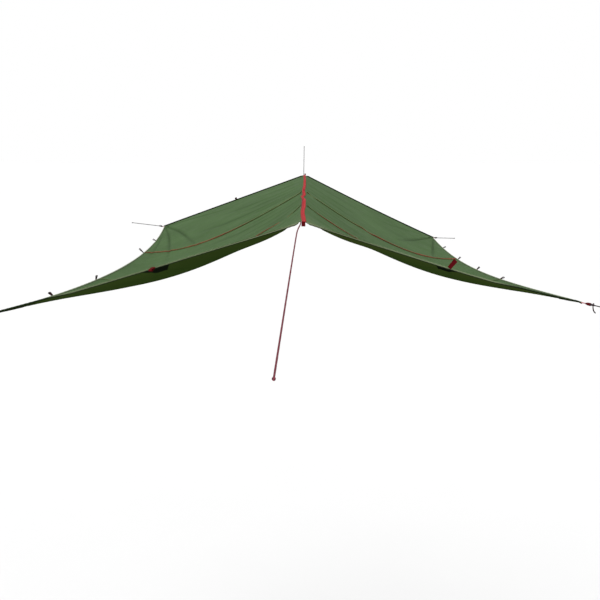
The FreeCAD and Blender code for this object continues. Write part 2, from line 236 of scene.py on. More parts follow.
def ripstop_cloth(name, colour, grid=0.006, specular=0.015):
    """Coated ripstop: a fine grid of thicker threads and uneven colour.

    The mesh's valley attribute darkens it where it is above 0, painted shade in the fold valleys, and pales
    it where it is below, painted light along the near edge.
    """
    nodes = Nodes(name)
    along, across = nodes.lay()
    threads = nodes.math("MAXIMUM", nodes.ribs(along, grid), nodes.ribs(across, grid))
    threads = nodes.stretch(threads, 0.93, 1.0, 0.0, 1.0)
    patches = nodes.stretch(nodes.noise(nodes.place(), 2.3, 4.0), 0.3, 0.7, 0.0, 1.0)
    dye_and_painted_light = nodes.mix(patches, darker(colour, 0.84), darker(colour, 1.14))
    grain = nodes.stretch(nodes.noise(nodes.place(), 34.0, 6.0, 0.65), 0.25, 0.75, 0.0, 0.35)
    dye_and_painted_light = nodes.mix(grain, dye_and_painted_light, darker(colour, 0.74))
    dye_and_painted_light = nodes.mix(nodes.math("MULTIPLY", threads, 0.35), dye_and_painted_light, darker(colour, 1.35))
    # Painted shade in the fold valleys and painted light along the near edge, from the mesh's valley
    # attribute.
    valley = nodes.add("ShaderNodeAttribute", attribute_name="valley").outputs["Fac"]
    dye_and_painted_light = nodes.mix(nodes.math("MULTIPLY", valley, 0.55, clamp=True), dye_and_painted_light, darker(colour, 0.30))
    painted_edge_light = nodes.math("MULTIPLY", valley, -1.0, clamp=True)
    dye_and_painted_light = nodes.mix(painted_edge_light, dye_and_painted_light, (colour[0] * 1.75, colour[1] * 1.35, colour[2] * 1.55))
    crinkle = nodes.noise(nodes.place(), 13.0, 7.0, 0.62)
    normal = nodes.bump(crinkle, 0.30, 0.010)
    normal = nodes.bump(threads, 0.25, 0.0004, normal)
    rough = nodes.stretch(nodes.noise(nodes.place(), 9.0, 4.0), 0.3, 0.7, 0.62, 0.80)
    return nodes.finish(dye_and_painted_light, rough, normal, specular=specular)


def woven_tape(name, colour, rib=0.0016, stitch=None, shaded=None):
    """Webbing or binding: ribs along it, worn patches and, if asked, stitches and a shaded side."""
    nodes = Nodes(name)
    along, across = nodes.lay()
    ribs = nodes.ribs(along, rib)
    cross = nodes.ribs(nodes.math("ADD", across, nodes.math("MULTIPLY", along, 0.5)), rib * 1.6)
    weave = nodes.math("MULTIPLY", ribs, cross)
    shade = nodes.mix(weave, darker(colour, 0.70), darker(colour, 1.12))
    wear = nodes.stretch(nodes.noise(nodes.place(), 60.0, 5.0), 0.35, 0.75, 0.0, 0.30)
    shade = nodes.mix(wear, shade, darker(colour, 0.62))
    normal = nodes.bump(weave, 0.6, 0.0004)
    if stitch is not None:
        dashes = nodes.math("GREATER_THAN", nodes.ribs(along, 0.0042), 0.35)
        row = nodes.math("LESS_THAN", nodes.math("ABSOLUTE", nodes.math("SUBTRACT", across, stitch)), 0.0007)
        thread = nodes.math("MULTIPLY", dashes, row)
        shade = nodes.mix(nodes.math("MULTIPLY", thread, 0.8), shade, darker(colour, 1.8))
        normal = nodes.bump(thread, 0.5, 0.0006, normal)
    if shaded is not None:
        shading = nodes.add("ShaderNodeAttribute", attribute_name="shading").outputs["Fac"]
        shade = nodes.mix(shading, shade, shaded)
    rough = nodes.stretch(weave, 0.0, 1.0, 0.78, 0.62)
    return nodes.finish(shade, rough, normal, specular=0.03)


PAST_THE_CLOTH = 9.0


def seam_binding(name, faint_to, vivid_from, fades_from=PAST_THE_CLOTH):
    """Stitched binding on a seam, a pale green close to the cloth's colour near the ridge and past
    fades_from: that pale green is lightened, painted light against the shade on the seam's upright face.
    """
    nodes = Nodes(name)
    along, _ = nodes.lay()
    stitches = nodes.ribs(along, 0.004)
    vivid = nodes.stretch(along, faint_to, vivid_from, 0.0, 1.0)
    patchy = nodes.stretch(nodes.noise(nodes.place(), 7.0, 3.0), 0.35, 0.65, 0.35, 1.0)
    vivid = nodes.math("MULTIPLY", vivid, nodes.stretch(along, fades_from, fades_from + 0.15, 1.0, 0.0))
    shade = nodes.mix(nodes.math("MULTIPLY", vivid, patchy), FAINT_SEAM_PAINTED_LIGHT, SEAM_RED)
    thread = nodes.math("MULTIPLY", stitches, nodes.stretch(vivid, 0.0, 1.0, 0.05, 0.30))
    shade = nodes.mix(thread, shade, darker(SEAM_RED, 0.6))
    rough = nodes.stretch(stitches, 0.0, 1.0, 0.8, 0.65)
    return nodes.finish(shade, rough, nodes.bump(stitches, 0.4, 0.0005), specular=0.03)


def braided_cord(name, colour, fleck, radius, share, fleck_pitch):
    """A braided sheath: two crossing sets of strands, with flecks of another yarn."""
    nodes = Nodes(name)
    along, around = nodes.lay()
    turn = 2 * math.pi * radius
    pitch = 4.2 * turn
    strands = 8
    slope = nodes.math("MULTIPLY", along, turn / pitch)
    first = nodes.ribs(nodes.math("ADD", around, slope), turn / strands)
    second = nodes.ribs(nodes.math("SUBTRACT", around, slope), turn / strands)
    braid = nodes.math("MAXIMUM", first, second)
    shade = nodes.mix(braid, darker(colour, 0.55), colour)
    tracer = nodes.ribs(nodes.math("ADD", along, nodes.math("MULTIPLY", around, 0.35)), fleck_pitch)
    tracer = nodes.stretch(tracer, share, share + 0.25, 0.0, 1.0)
    tracer = nodes.math("MULTIPLY", tracer, nodes.stretch(second, 0.1, 0.4, 0.4, 1.0))
    shade = nodes.mix(tracer, shade, fleck)
    normal = nodes.bump(braid, 0.8, radius * 0.25)
    return nodes.finish(shade, nodes.stretch(braid, 0.0, 1.0, 0.85, 0.68), normal, specular=0.04)


def moulded_plastic(name, colour):
    nodes = Nodes(name)
    grain = nodes.noise(nodes.place(), 900.0, 3.0)
    scuffs = nodes.stretch(nodes.noise(nodes.place(), 140.0, 6.0, 0.7), 0.5, 0.75, 0.0, 0.5)
    shade = nodes.mix(scuffs, colour, tuple(channel * 2.2 + 0.01 for channel in colour))
    rough = nodes.stretch(scuffs, 0.0, 0.5, 0.42, 0.62)
    return nodes.finish(shade, rough, nodes.bump(grain, 0.25, 0.0002))


def plain_floor(name):
    nodes = Nodes(name)
    shade = nodes.mix(nodes.noise(nodes.place(), 0.6, 3.0), (0.785, 0.785, 0.785), (0.800, 0.800, 0.800))
    return nodes.finish(shade, 0.9, specular=0.1)


CLOTH = ripstop_cloth("canopy ripstop", LEAF_GREEN)
UNDERSIDE_IN_SHADE = ripstop_cloth("underside in painted shade", UNDER_GREEN_IN_SHADE, specular=0.0)
PATCH_CLOTH = ripstop_cloth("patch cloth", (0.004, 0.006, 0.003), grid=0.003, specular=0.0)
HEM_TAPE = woven_tape("hem binding", (0.210, 0.255, 0.145), stitch=0.004, shaded=HEM_SHADE)
SIDE_HEM_TAPE = woven_tape("side hem binding", (0.360, 0.420, 0.280), stitch=0.004, shaded=HEM_SHADE)
FAR_HEM_TAPE_IN_SHADE = woven_tape("far hem binding in shade", HEM_SHADE, stitch=0.004)
RED_WEB = woven_tape("ridge webbing", RED, stitch=0.003)
# The loops' webbing in painted shade.
LOOP_WEB_IN_SHADE = woven_tape("shaded loop webbing", LOOP_RED_IN_SHADE)
SHADED_WEB = woven_tape("side shaded loop webbing", SHADED_RED)
PINK_WEB = woven_tape("worn webbing", (0.55, 0.16, 0.19))
FAR_SEAM_TAPE = seam_binding("far seam binding", 0.45, 0.75)
NEAR_SEAM_TAPE = seam_binding("near seam binding", 0.06, 0.16, 0.42)
THREAD = woven_tape("tack thread", (0.30, 0.02, 0.025), rib=0.0008)
ROPE = braided_cord("ridge rope braid", (0.34, 0.085, 0.110), (0.020, 0.004, 0.008), 0.003, 0.30, 0.0094)
GUY = braided_cord("guyline braid", (0.030, 0.026, 0.028), (0.12, 0.11, 0.115), 0.003, 0.80, 0.007)
TAIL = braided_cord("cord end braid", (0.020, 0.008, 0.011), (0.06, 0.02, 0.03), 0.003, 0.80, 0.007)
LOCK = moulded_plastic("lock plastic", (0.020, 0.006, 0.009))

# ---------------------------------------------------------------- mesh helpers


def mesh_piece(name, points, faces, lay, materials):
    mesh = bpy.data.meshes.new(name)
    mesh.from_pydata([tuple(point) for point in points], [], faces)
    mesh.validate()
    for material in materials:
        mesh.materials.append(material)
    values = np.zeros((len(points), 3), np.float32)
    values[:, :2] = lay
    mesh.attributes.new("lay", "FLOAT_VECTOR", "POINT").data.foreach_set("vector", values.ravel())
    mesh.polygons.foreach_set("use_smooth", [True] * len(mesh.polygons))
    piece = bpy.data.objects.new(name, mesh)
    bpy.context.scene.collection.objects.link(piece)
    return piece


def grid_faces(rows, columns, flip=False, start=0):
    faces = []
    for row in range(rows - 1):
        for column in range(columns - 1):
            corner = start + row * columns + column
            face = (corner, corner + 1, corner + columns + 1, corner + columns)
            faces.append(face[::-1] if flip else face)
    return faces


def unit(vectors):
    vectors = np.asarray(vectors, float)
    return vectors / np.linalg.norm(vectors, axis=-1, keepdims=True)


def tangents(path):
    return unit(np.gradient(path, axis=0))


def travelled(path):
    steps = np.linalg.norm(np.diff(path, axis=0), axis=1)
    return np.concatenate([[0.0], np.cumsum(steps)])


def swept(path, side, up, section):
    """Points, faces and lay of a closed section swept along a path, with closed ends."""
    path = np.asarray(path, float)
    side = np.broadcast_to(side, path.shape)
    up = np.broadcast_to(up, path.shape)
    section = np.asarray(section, float)
    count = len(section)
    points = path[:, None] + section[:, 0, None] * side[:, None] + section[:, 1, None] * up[:, None]
    lay = np.zeros((len(path), count, 2))
    lay[:, :, 0] = travelled(path)[:, None]
    lay[:, :, 1] = section[:, 0]
    faces = []
    for ring in range(len(path) - 1):
        for spot in range(count):
            following = (spot + 1) % count
            here = ring * count
            faces.append((here + spot, here + following, here + count + following, here + count + spot))
    last = (len(path) - 1) * count
    faces.append(tuple(range(count))[::-1])
    faces.append(tuple(range(last, last + count)))
    return points.reshape(-1, 3), faces, lay.reshape(-1, 2)


def joined(parts):
    """Several (points, faces, lay) as one."""
    points, faces, lay = [], [], []
    start = 0
    for part_points, part_faces, part_lay in parts:
        points.append(part_points)
        faces += [tuple(start + corner for corner in face) for face in part_faces]
        lay.append(part_lay)
        start += len(part_points)
    return np.concatenate(points), faces, np.concatenate(lay)


def tape_section(width, thick):
    """A flat tape's outline, with rounded edges and a slightly raised selvedge."""
    half = width / 2
    edge = thick / 2
    flat = [-half + edge, -half + 2.2 * edge, -half / 2, 0, half / 2, half - 2.2 * edge, half - edge]
    top = [(x, edge * (1.25 if abs(x) > half - 2.5 * edge else 1.0)) for x in flat]
    bottom = [(x, -y) for x, y in reversed(top)]
    return [*top, (half, 0), *bottom, (-half, 0)]


def rolled_section(width, thick, roll, stands):
    """A hem's outline and its shading: flat where it is stitched down, with a roll at its outer edge.

    The roll stands up from the cloth, with a shaded groove behind it, or hangs below it with
    its lower side shaded.
    """
    half = width / 2
    centre = (half - roll / 2 - (0.001 if stands else 0), thick / 2 - roll / 2)
    turns = np.radians(np.arange(90, -181, -30))
    edge = [(centre[0] + roll / 2 * math.cos(turn), centre[1] + roll / 2 * math.sin(turn)) for turn in turns]
    foot = max(centre[0] - roll * 0.75, -half * 0.65)
    top = [(-half, thick * 0.2), (-half + thick * 0.4, thick / 2), (-half * 0.3, thick / 2)]
    bottom = [(foot, -thick / 2), (-half + thick * 0.4, -thick / 2), (-half, -thick * 0.2)]
    outline = [*top, *edge, *bottom]
    if stands:
        groove = [0.0] * (len(top) + len(edge)) + [1.0, 1.0, 0.8]
        return [(x, -y) for x, y in outline][::-1], groove[::-1]
    return outline, [0.0] * len(top) + [0.0, 0.0, 0.0, 0.0] + [1.0] * (len(edge) - 4 + len(bottom))


def round_section(radius, count=10):
    turns = [2 * math.pi * step / count for step in range(count)]
    return [(radius * math.cos(turn), radius * math.sin(turn)) for turn in turns]


def frames_along(path):
    """Side and up vectors that turn as little as they can along a path."""
    forward = tangents(path)
    start = np.cross(forward[0], (0.0, 0.0, 1.0))
    if np.linalg.norm(start) < 0.1:
        start = np.cross(forward[0], (0.0, 1.0, 0.0))
    side = [unit(start)]
    for direction in forward[1:]:
        carried = side[-1] - direction * np.dot(side[-1], direction)
        side.append(unit(carried))
    side = np.array(side)
    return side, np.cross(side, forward)


# ---------------------------------------------------------------- the cloth


def cloth_point(side, u, v):
    """The panel's surface: straight runs between its edges, less its belly."""
    panel = PANELS[side]
    u = np.asarray(u, float)[..., None]
    v = np.asarray(v, float)[..., None]
    near, far, middle = (np.array(panel[key]) for key in ("near", "far", "middle"))
    ridge_near = np.array((0, -RIDGE_HALF, 0))
    ridge_far = np.array((0, RIDGE_HALF, 0))
    up = np.array((0, 0, 1.0))
    ridge = ridge_near * (1 - v) + ridge_far * v
    drawn = 4 * v * (1 - v) * (1 + panel["side_near"] * (1 - 2 * v))
    edge = near * (1 - v) + far * v + (middle - (near + far) / 2) * drawn
    arch = 4 * u * (1 - u)
    sag = panel["near_sag"] * arch * (1 + panel["near_sag_side"] * (2 * u - 1))
    bow = np.array((0, 1.0, 0)) * panel["near_bow"] * arch
    near_edge = ridge_near * (1 - u) + near * u - up * sag - bow
    far_edge = ridge_far * (1 - u) + far * u - up * panel["far_sag"] * arch
    plane = (1 - v) * (ridge_near * (1 - u) + near * u) + v * (ridge_far * (1 - u) + far * u)
    belly = panel["belly"] * 16 * u * (1 - u) * v * (1 - v)
    side_share = panel["belly_side"] + panel["belly_twist"] * (1 - 2 * v)
    belly = belly * (1 + panel["belly_near"] * (1 - 2 * v)) * (1 + side_share * (2 * u - 1))
    return ridge * (1 - u) + edge * u + near_edge * (1 - v) + far_edge * v - plane - up * belly


def cloth_frame(side, u, v):
    step = 0.002
    across = unit(cloth_point(side, u + step, v) - cloth_point(side, u - step, v))
    along = unit(cloth_point(side, u, v + step) - cloth_point(side, u, v - step))
    outward = np.cross(across, along)
    outward = unit(outward * np.sign(outward[..., 2:3]))
    return across, along, outward


def crease(u, v, start, end, width, height, fade=1.0):
    """One soft fold from start to end, both (u, v): a ridge with a shallower valley on one side."""
    x = (u - start[0]) * CLOTH_WIDTH
    y = (v - start[1]) * CLOTH_LENGTH
    run = np.array(((end[0] - start[0]) * CLOTH_WIDTH, (end[1] - start[1]) * CLOTH_LENGTH))
    length = np.linalg.norm(run)
    run = run / length
    share = np.clip((x * run[0] + y * run[1]) / length, -0.2, 1.2)
    off = (x * run[1] - y * run[0]) / (width * (0.45 + 0.9 * np.clip(share, 0, 1)))
    taper = np.clip(share / 0.08 + 1, 0, 1) * np.clip((1.15 - share) / 0.55, 0, 1) ** fade
    return height * taper * (np.exp(-off * off) - 0.5 * np.exp(-((off - 1.5) ** 2)))


FOLD_DEPTH = 0.009
# The left cloth's lift for the rope beneath it, how far the lift reaches and how far from the ridge it
# is full, in metres. It isn't enough: the belly steepens the cloth, most of all in the near half, and the
# panel's columns are wider apart than the rope is thick, so the cloth still runs into the rope.
ROPE_LIFT = 0.0058
ROPE_LIFT_REACH = 0.010
ROPE_LIFT_FULL = 0.006
# The slack pocket just behind the near hem on each side of the ridge, in metres and in u.
POCKET_DEPTH = 0.021
POCKET_BEHIND = 0.22
POCKET_PLACE = 0.13
POCKET_REACH = 0.13
POCKET_START = 0.02
POCKET_FADE = 0.05
# The near edge is painted paler, a painted highlight, over this many metres, by this share on each side.
EDGE_LIGHT_REACH = 0.30
EDGE_PAINTED_LIGHT = {"left": 0.25, "right": 0.60}
FOLDS = {
    # start, end (u, v), width and depth in metres
    "left": [
        ((1.0, 1.0), (0.66, 0.60), 0.015, 0.010),
        ((1.0, 1.0), (0.80, 0.55), 0.014, 0.010),
        ((1.0, 1.0), (0.93, 0.57), 0.013, 0.007),
        ((1.0, 1.0), (0.50, 0.86), 0.020, 0.006),
        ((1.0, 0.0), (0.70, 0.22), 0.024, 0.004),
        ((1.0, 0.0), (0.86, 0.30), 0.020, 0.004),
        ((0.473, 0.0), (0.40, 0.12), 0.016, 0.002),
        ((0.473, 0.0), (0.56, 0.12), 0.016, 0.002),
    ],
    "right": [
        ((1.0, 1.0), (0.64, 0.75), 0.015, 0.010),
        ((1.0, 1.0), (0.82, 0.68), 0.014, 0.010),
        ((1.0, 1.0), (0.55, 0.88), 0.022, 0.003),
        ((1.0, 0.0), (0.72, 0.20), 0.024, 0.004),
        ((1.0, 0.0), (0.90, 0.28), 0.020, 0.004),
        ((0.496, 0.0), (0.42, 0.12), 0.016, 0.002),
        ((0.496, 0.0), (0.58, 0.12), 0.016, 0.002),
    ],
}
RIDGE_FAN = {
    # where each fold leaves the ridge, where it dies out (u, v) and how deep it is
    "left": [
        (0.15, (0.16, 0.20), 0.004),
        (0.205, (0.26, 0.29), 0.005),
        (0.27, (0.34, 0.35), 0.004),
        (0.32, (0.30, 0.39), 0.006),
        (0.363, (0.50, 0.50), 0.007),
        (0.43, (0.38, 0.50), 0.005),
        (0.49, (0.46, 0.58), 0.005),
        (0.53, (0.36, 0.62), 0.004),
        (0.576, (0.66, 0.71), 0.008),
        (0.64, (0.42, 0.72), 0.005),
        (0.70, (0.55, 0.80), 0.006),
        (0.80, (0.34, 0.86), 0.006),
        (0.90, (0.30, 0.93), 0.005),
    ],
    "right": [
        (0.145, (0.16, 0.16), 0.004),
        (0.22, (0.28, 0.24), 0.005),
        (0.29, (0.22, 0.29), 0.004),
        (0.345, (0.34, 0.33), 0.007),
        (0.41, (0.30, 0.42), 0.005),
        (0.48, (0.24, 0.47), 0.005),
        (0.562, (0.46, 0.56), 0.007),
        (0.63, (0.30, 0.64), 0.005),
        (0.72, (0.34, 0.74), 0.006),
        (0.84, (0.28, 0.86), 0.005),
    ],
}


def fold_height(side, u, v):
    """How far the cloth is above its plain curve, which is below zero in a fold."""
    random = np.random.default_rng(7 if side == "left" else 11)
    height = np.zeros_like(u)
    for start, end, width, tall in FOLDS[side]:
        height -= crease(u, v, start, end, width, tall)
    for place, end, deep in RIDGE_FAN[side]:
        width = 0.030 + 0.014 * random.random()
        height -= crease(u, v, (0.0, place), end, width, 1.5 * deep, 1.4)
    gathers = np.sin(v * 150 + 2.2 * np.sin(v * 31)) * np.exp(-u / 0.045) * 0.0012
    edges = np.clip((u - 0.012) / 0.03, 0, 1) * np.clip((1 - u) / 0.03, 0, 1)
    edges *= np.clip(v / 0.012, 0, 1) * np.clip((1 - v) / 0.012, 0, 1)
    return (height + gathers) * edges


def lifted(side, u, v, height=0.0):
    """Points at some height above the folded cloth's middle surface."""
    u = np.asarray(u, float)
    v = np.asarray(v, float)
    outward = cloth_frame(side, u, v)[2]
    point = cloth_point(side, u, v)
    behind = v * CLOTH_LENGTH / POCKET_BEHIND
    pocket = POCKET_DEPTH * np.exp(-(((u - POCKET_PLACE) / POCKET_REACH) ** 2)) * behind * np.exp(1 - behind)
    rise = fold_height(side, u, v) + height - pocket * np.clip((u - POCKET_START) / POCKET_FADE, 0, 1)
    if side == "left":
        over_rope = np.exp(-(((point[..., 0] - ROPE_SIDE) / ROPE_LIFT_REACH) ** 2))
        rise = rise + ROPE_LIFT * over_rope * np.clip(-point[..., 0] / ROPE_LIFT_FULL, 0, 1)
    return point + outward * rise[..., None]


def build_panel(side):
    """One continuous sheet from under the ridge band to the side edge."""
    rows, columns = 440, 110
    v, u = np.meshgrid(np.linspace(0, 1, rows), np.linspace(0, 1, columns) ** 1.12, indexing="ij")
    points = lifted(side, u, v, -CLOTH_THICK / 2).reshape(-1, 3)
    lay = np.stack([u * CLOTH_WIDTH, v * CLOTH_LENGTH], -1).reshape(-1, 2)
    faces = grid_faces(rows, columns, flip=side == "left")
    piece = mesh_piece(f"{side}_cloth", points, faces, lay, [CLOTH, UNDERSIDE_IN_SHADE])
    # Painted shade where the cloth dips into a fold, and painted light along the near edge where the value
    # is negative.
    valley = np.clip(-fold_height(side, u, v) / FOLD_DEPTH, 0, 1)
    valley -= EDGE_PAINTED_LIGHT[side] * np.exp(-((v * CLOTH_LENGTH / EDGE_LIGHT_REACH) ** 2)) * (1 - valley)
    valley = valley.astype(np.float32)
    piece.data.attributes.new("valley", "FLOAT", "POINT").data.foreach_set("value", valley.ravel())
    # The lower shell and the rims take the underside material, painted shade.
    solid = piece.modifiers.new("thickness", "SOLIDIFY")
    solid.thickness = CLOTH_THICK
    solid.offset = 0
    solid.material_offset = 1
    solid.material_offset_rim = 1
    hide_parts(f"{side}_panel")
    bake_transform(piece)
    return piece


HEM_ROLL = {"near": 0.0085, "far": 0.0120, "side": 0.0065}
# Over this span of u the near hem turns up towards its tip, where it is painted dark as shade.
HEM_TURN_UP_SPAN = {"left": (0.74, 0.82), "right": (0.66, 0.76)}
HEM_TURN_UP = math.radians(40)
# Where the near and far hems start, in u: past the rope on the left and the band on the right.
# From there they swell to their full thickness over HEM_SWELL.
HEM_START = {"left": 0.0135, "right": 0.010}
HEM_SWELL = 0.012
HEM_START_SHARE = 0.35
TURNED_UP_SHADING = 0.85


def build_hem(side, name, material):
    """A rolled hem: cloth folded over a cord-like edge, with a row of stitches."""
    width = np.linalg.norm(cloth_point(side, 1.0, 0.5))
    inset_u = HEM_WIDTH / width / 2
    inset_v = HEM_WIDTH / CLOTH_LENGTH / 2
    steps = 220
    if name == "side":
        v = np.linspace(0, 1, steps)
        u = np.full(steps, 1 - inset_u)
    else:
        u = np.linspace(HEM_START[side], 1, steps)
        v = np.full(steps, inset_v if name == "near" else 1 - inset_v)
    path = lifted(side, u, v)
    across, along, outward = cloth_frame(side, u, v)
    random = np.random.default_rng(len(name) + (3 if side == "left" else 5))
    pucker = 0.0004 * np.sin(np.arange(steps) * 1.9 + random.random() * 6)
    path = path + outward * pucker[:, None]
    edge_side = across if name == "side" else along * (-1 if name == "near" else 1)
    if name == "near":
        fade = np.clip((u - HEM_TURN_UP_SPAN[side][0]) / (HEM_TURN_UP_SPAN[side][1] - HEM_TURN_UP_SPAN[side][0]), 0, 1)
        turned = (HEM_TURN_UP * fade * np.clip((1 - u) / 0.02, 0, 1))[:, None]
        tilted = edge_side * np.cos(turned) + outward * np.sin(turned)
        path = path + (tilted - edge_side) * HEM_WIDTH / 2
        edge_side, outward = tilted, outward * np.cos(turned) - edge_side * np.sin(turned)
    if name != "side":
        swelling = np.clip((u - HEM_START[side]) / HEM_SWELL, 0, 1)
        swell = HEM_START_SHARE + (1 - HEM_START_SHARE) * swelling
        outward = outward * swell[:, None]
    section, shading = rolled_section(HEM_WIDTH * 1.06, HEM_THICK, HEM_ROLL[name], name != "near")
    points, faces, lay = swept(path, edge_side, outward, section)
    piece = mesh_piece(f"{side}_{name}_hem_tape", points, faces, lay, [material])
    shading = np.tile(np.array(shading, np.float32), (steps, 1))
    # Painted shade on the near hem where it turns up.
    if name == "near":
        shading = np.maximum(shading, TURNED_UP_SHADING * fade[:, None]).astype(np.float32)
    piece.data.attributes.new("shading", "FLOAT", "POINT").data.foreach_set("value", shading.ravel())
    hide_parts(f"{side}_{name}_hem")
    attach(piece, f"{side}_panel")
    return piece


def build_seam(side, name, tall, material):
    """A bound seam that stands up from the cloth, leaning a little one way and the other."""
    steps = 200
    u = np.linspace(0.012, 0.991, steps)
    at_ridge, at_side = PANELS[side][name + "_seam"]
    v = at_ridge + (at_side - at_ridge) * u
    path = lifted(side, u, v, tall * 0.45)
    _, along, outward = cloth_frame(side, u, v)
    random = np.random.default_rng(23 if side == "left" else 29)
    lean = np.convolve(random.standard_normal(steps + 24), np.ones(25) / 25, "valid") * 1.6
    up = unit(outward + along * lean[:, None] * 0.8)
    section_side = unit(np.cross(up, tangents(path)))
    section = [(x * 0.7, y) for y, x in tape_section(tall, SEAM_THICK)]
    points, faces, lay = swept(path, section_side, up, section)
    lay[:, 1] = np.tile([y for _, y in section], steps)
    piece = mesh_piece(f"{side}_{name}_seam_tape", points, faces, lay, [material])
    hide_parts(f"{side}_{name}_seam")
    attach(piece, f"{side}_panel")


def build_patch(side, name):
    """A reinforcing patch under the cloth, cut as its solid is, with a turned-in border."""
    width = np.linalg.norm(cloth_point(side, 1.0, 0.5))
    end, kind = name.split("_")
    border = HEM_WIDTH / CLOTH_LENGTH
    inward = 1 if end == "near" else -1
    edge_v = border if end == "near" else 1 - border
    if kind == "middle":
        half = MIDDLE_PATCH_WIDE / width / 2
        place = PANELS[side][end + "_middle"]
        inner_v = edge_v + inward * MIDDLE_PATCH_DEEP / CLOTH_LENGTH
        first = ((place - half, edge_v), (place - half / 3, inner_v))
        second = ((place + half, edge_v), (place + half / 3, inner_v))
    else:
        outer = 1 - HEM_WIDTH / width
        reach = CORNER_PATCH_REACH / width
        inner_v = edge_v + inward * CORNER_PATCH_REACH / CLOTH_LENGTH
        first = ((outer - reach, edge_v), (outer - reach / 8, inner_v))
        second = ((outer, edge_v), (outer, inner_v))
    rows = columns = 26
    share, part = np.meshgrid(np.linspace(0, 1, rows), np.linspace(0, 1, columns), indexing="ij")
    left = [first[0][axis] * (1 - share) + first[1][axis] * share for axis in (0, 1)]
    right = [second[0][axis] * (1 - share) + second[1][axis] * share for axis in (0, 1)]
    u, v = (left[axis] * (1 - part) + right[axis] * part for axis in (0, 1))
    rim = np.minimum.reduce([share, 1 - share, part, 1 - part])
    below = 0.0016 + 0.0005 * (rim < 0.06)
    points = lifted(side, u, v, 0.0) - cloth_frame(side, u, v)[2] * below[..., None]
    lay = np.stack([u * CLOTH_WIDTH, v * CLOTH_LENGTH], -1).reshape(-1, 2)
    faces = grid_faces(rows, columns)
    piece = mesh_piece(f"{side}_{name}_patch_cloth", points.reshape(-1, 3), faces, lay, [PATCH_CLOTH])
    solid = piece.modifiers.new("thickness", "SOLIDIFY")
    solid.thickness = PATCH_THICK
    solid.offset = 0
    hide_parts(f"{side}_{name}_patch")
    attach(piece, f"{side}_panel")


# ---------------------------------------------------------------- webbing


def loop_path(neck, eye, layer):
    """The folded strip's middle line, in its own plane: out, round the eye and back."""
    centre = neck + eye + layer
    radius = eye + layer / 2
    opening = math.acos(radius / centre)
    turns = np.linspace(-math.pi + opening, math.pi - opening, 41)
    ring = np.stack([centre + radius * np.cos(turns), radius * np.sin(turns)], 1)
    count = max(3, int(neck / 0.002))
    share = np.linspace(0, 1, count, endpoint=False)[:, None]
    out = np.array((0, -layer / 2)) * (1 - share) + ring[0] * share
    back = out[::-1] * (1, -1)
    path = np.concatenate([out, ring, back])
    for _ in range(3):
        path[1:-1] = (path[:-2] + 2 * path[1:-1] + path[2:]) / 4
    return path


def tack_path(width, length, passes):
    """A bar tack's thread, zigzag over a width and a length."""
    turns = np.arange(passes * 2 + 1)
    x = np.linspace(0, length, len(turns))
    y = (turns % 2 - 0.5) * width
    fine = np.linspace(0, len(turns) - 1, passes * 8 + 1)
    return np.stack([np.interp(fine, turns, x), np.interp(fine, turns, y)], 1)


def build_loop(name, body, root, reach, axis, neck, width, material, twist=0.0):
    """A webbing loop with its bar tack, from where its neck is sewn on.

    Its free end can be twisted about its reach, by twist in radians.
    """
    root, reach, axis = (np.array(vector, float) for vector in (root, reach, axis))
    rise = np.cross(axis, reach)
    layer = LOOP_THICK
    flat = loop_path(neck, LOOP_EYE_RADIUS, layer)
    turned = np.clip(flat[:, :1] / neck, 0, 1)
    turned = twist * turned * turned * (3 - 2 * turned)
    across = np.cos(turned) * axis + np.sin(turned) * rise
    path = root + flat[:, :1] * reach + flat[:, 1:] * np.cross(across, reach)
    up = unit(np.cross(tangents(path), across))
    strip = swept(path, across, up, tape_section(width, layer))
    tacks = []
    reach_out = min(0.007, neck * 0.6)
    for face in (-1, 1):
        zigzag = tack_path(width * 0.82, reach_out, 9)
        base = root + rise * face * (layer + 0.0003) + reach * neck * 0.2
        thread = base + zigzag[:, :1] * reach + zigzag[:, 1:] * axis
        tacks.append(swept(thread, *frames_along(thread), round_section(0.00035, 5)))
    piece = mesh_piece(f"{name}_webbing", *strip, [material])
    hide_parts(name)
    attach(piece, body)
    stitches = mesh_piece(f"{name}_tack", *joined(tacks), [THREAD])
    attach(stitches, body)


def loop_from_frame(name, body, material):
    root = np.array(JOINTS[f"{name}_swing"]["pos_m"])
    eye = MOUNTS[f"{name}_eye"]
    away = np.array(eye["pos_m"]) - root
    neck = np.linalg.norm(away) - eye["dims"]["r_mm"] / 1000 - SOLID_LOOP_THICK
    width = eye["dims"]["length_mm"] / 1000
    build_loop(name, body, root, unit(away), eye["axis"], neck, width, material)


BAND_WANDER = [
    # place along the ridge, how far the bend reaches and how far it shifts, in metres
    (-2.25, 0.10, 0.0025),
    (-1.80, 0.22, -0.0060),
    (-0.75, 0.13, -0.0130),
    (0.00, 0.35, -0.0055),
    (2.00, 0.50, -0.0035),
]
BAND_KINK = (-0.75, 0.09)


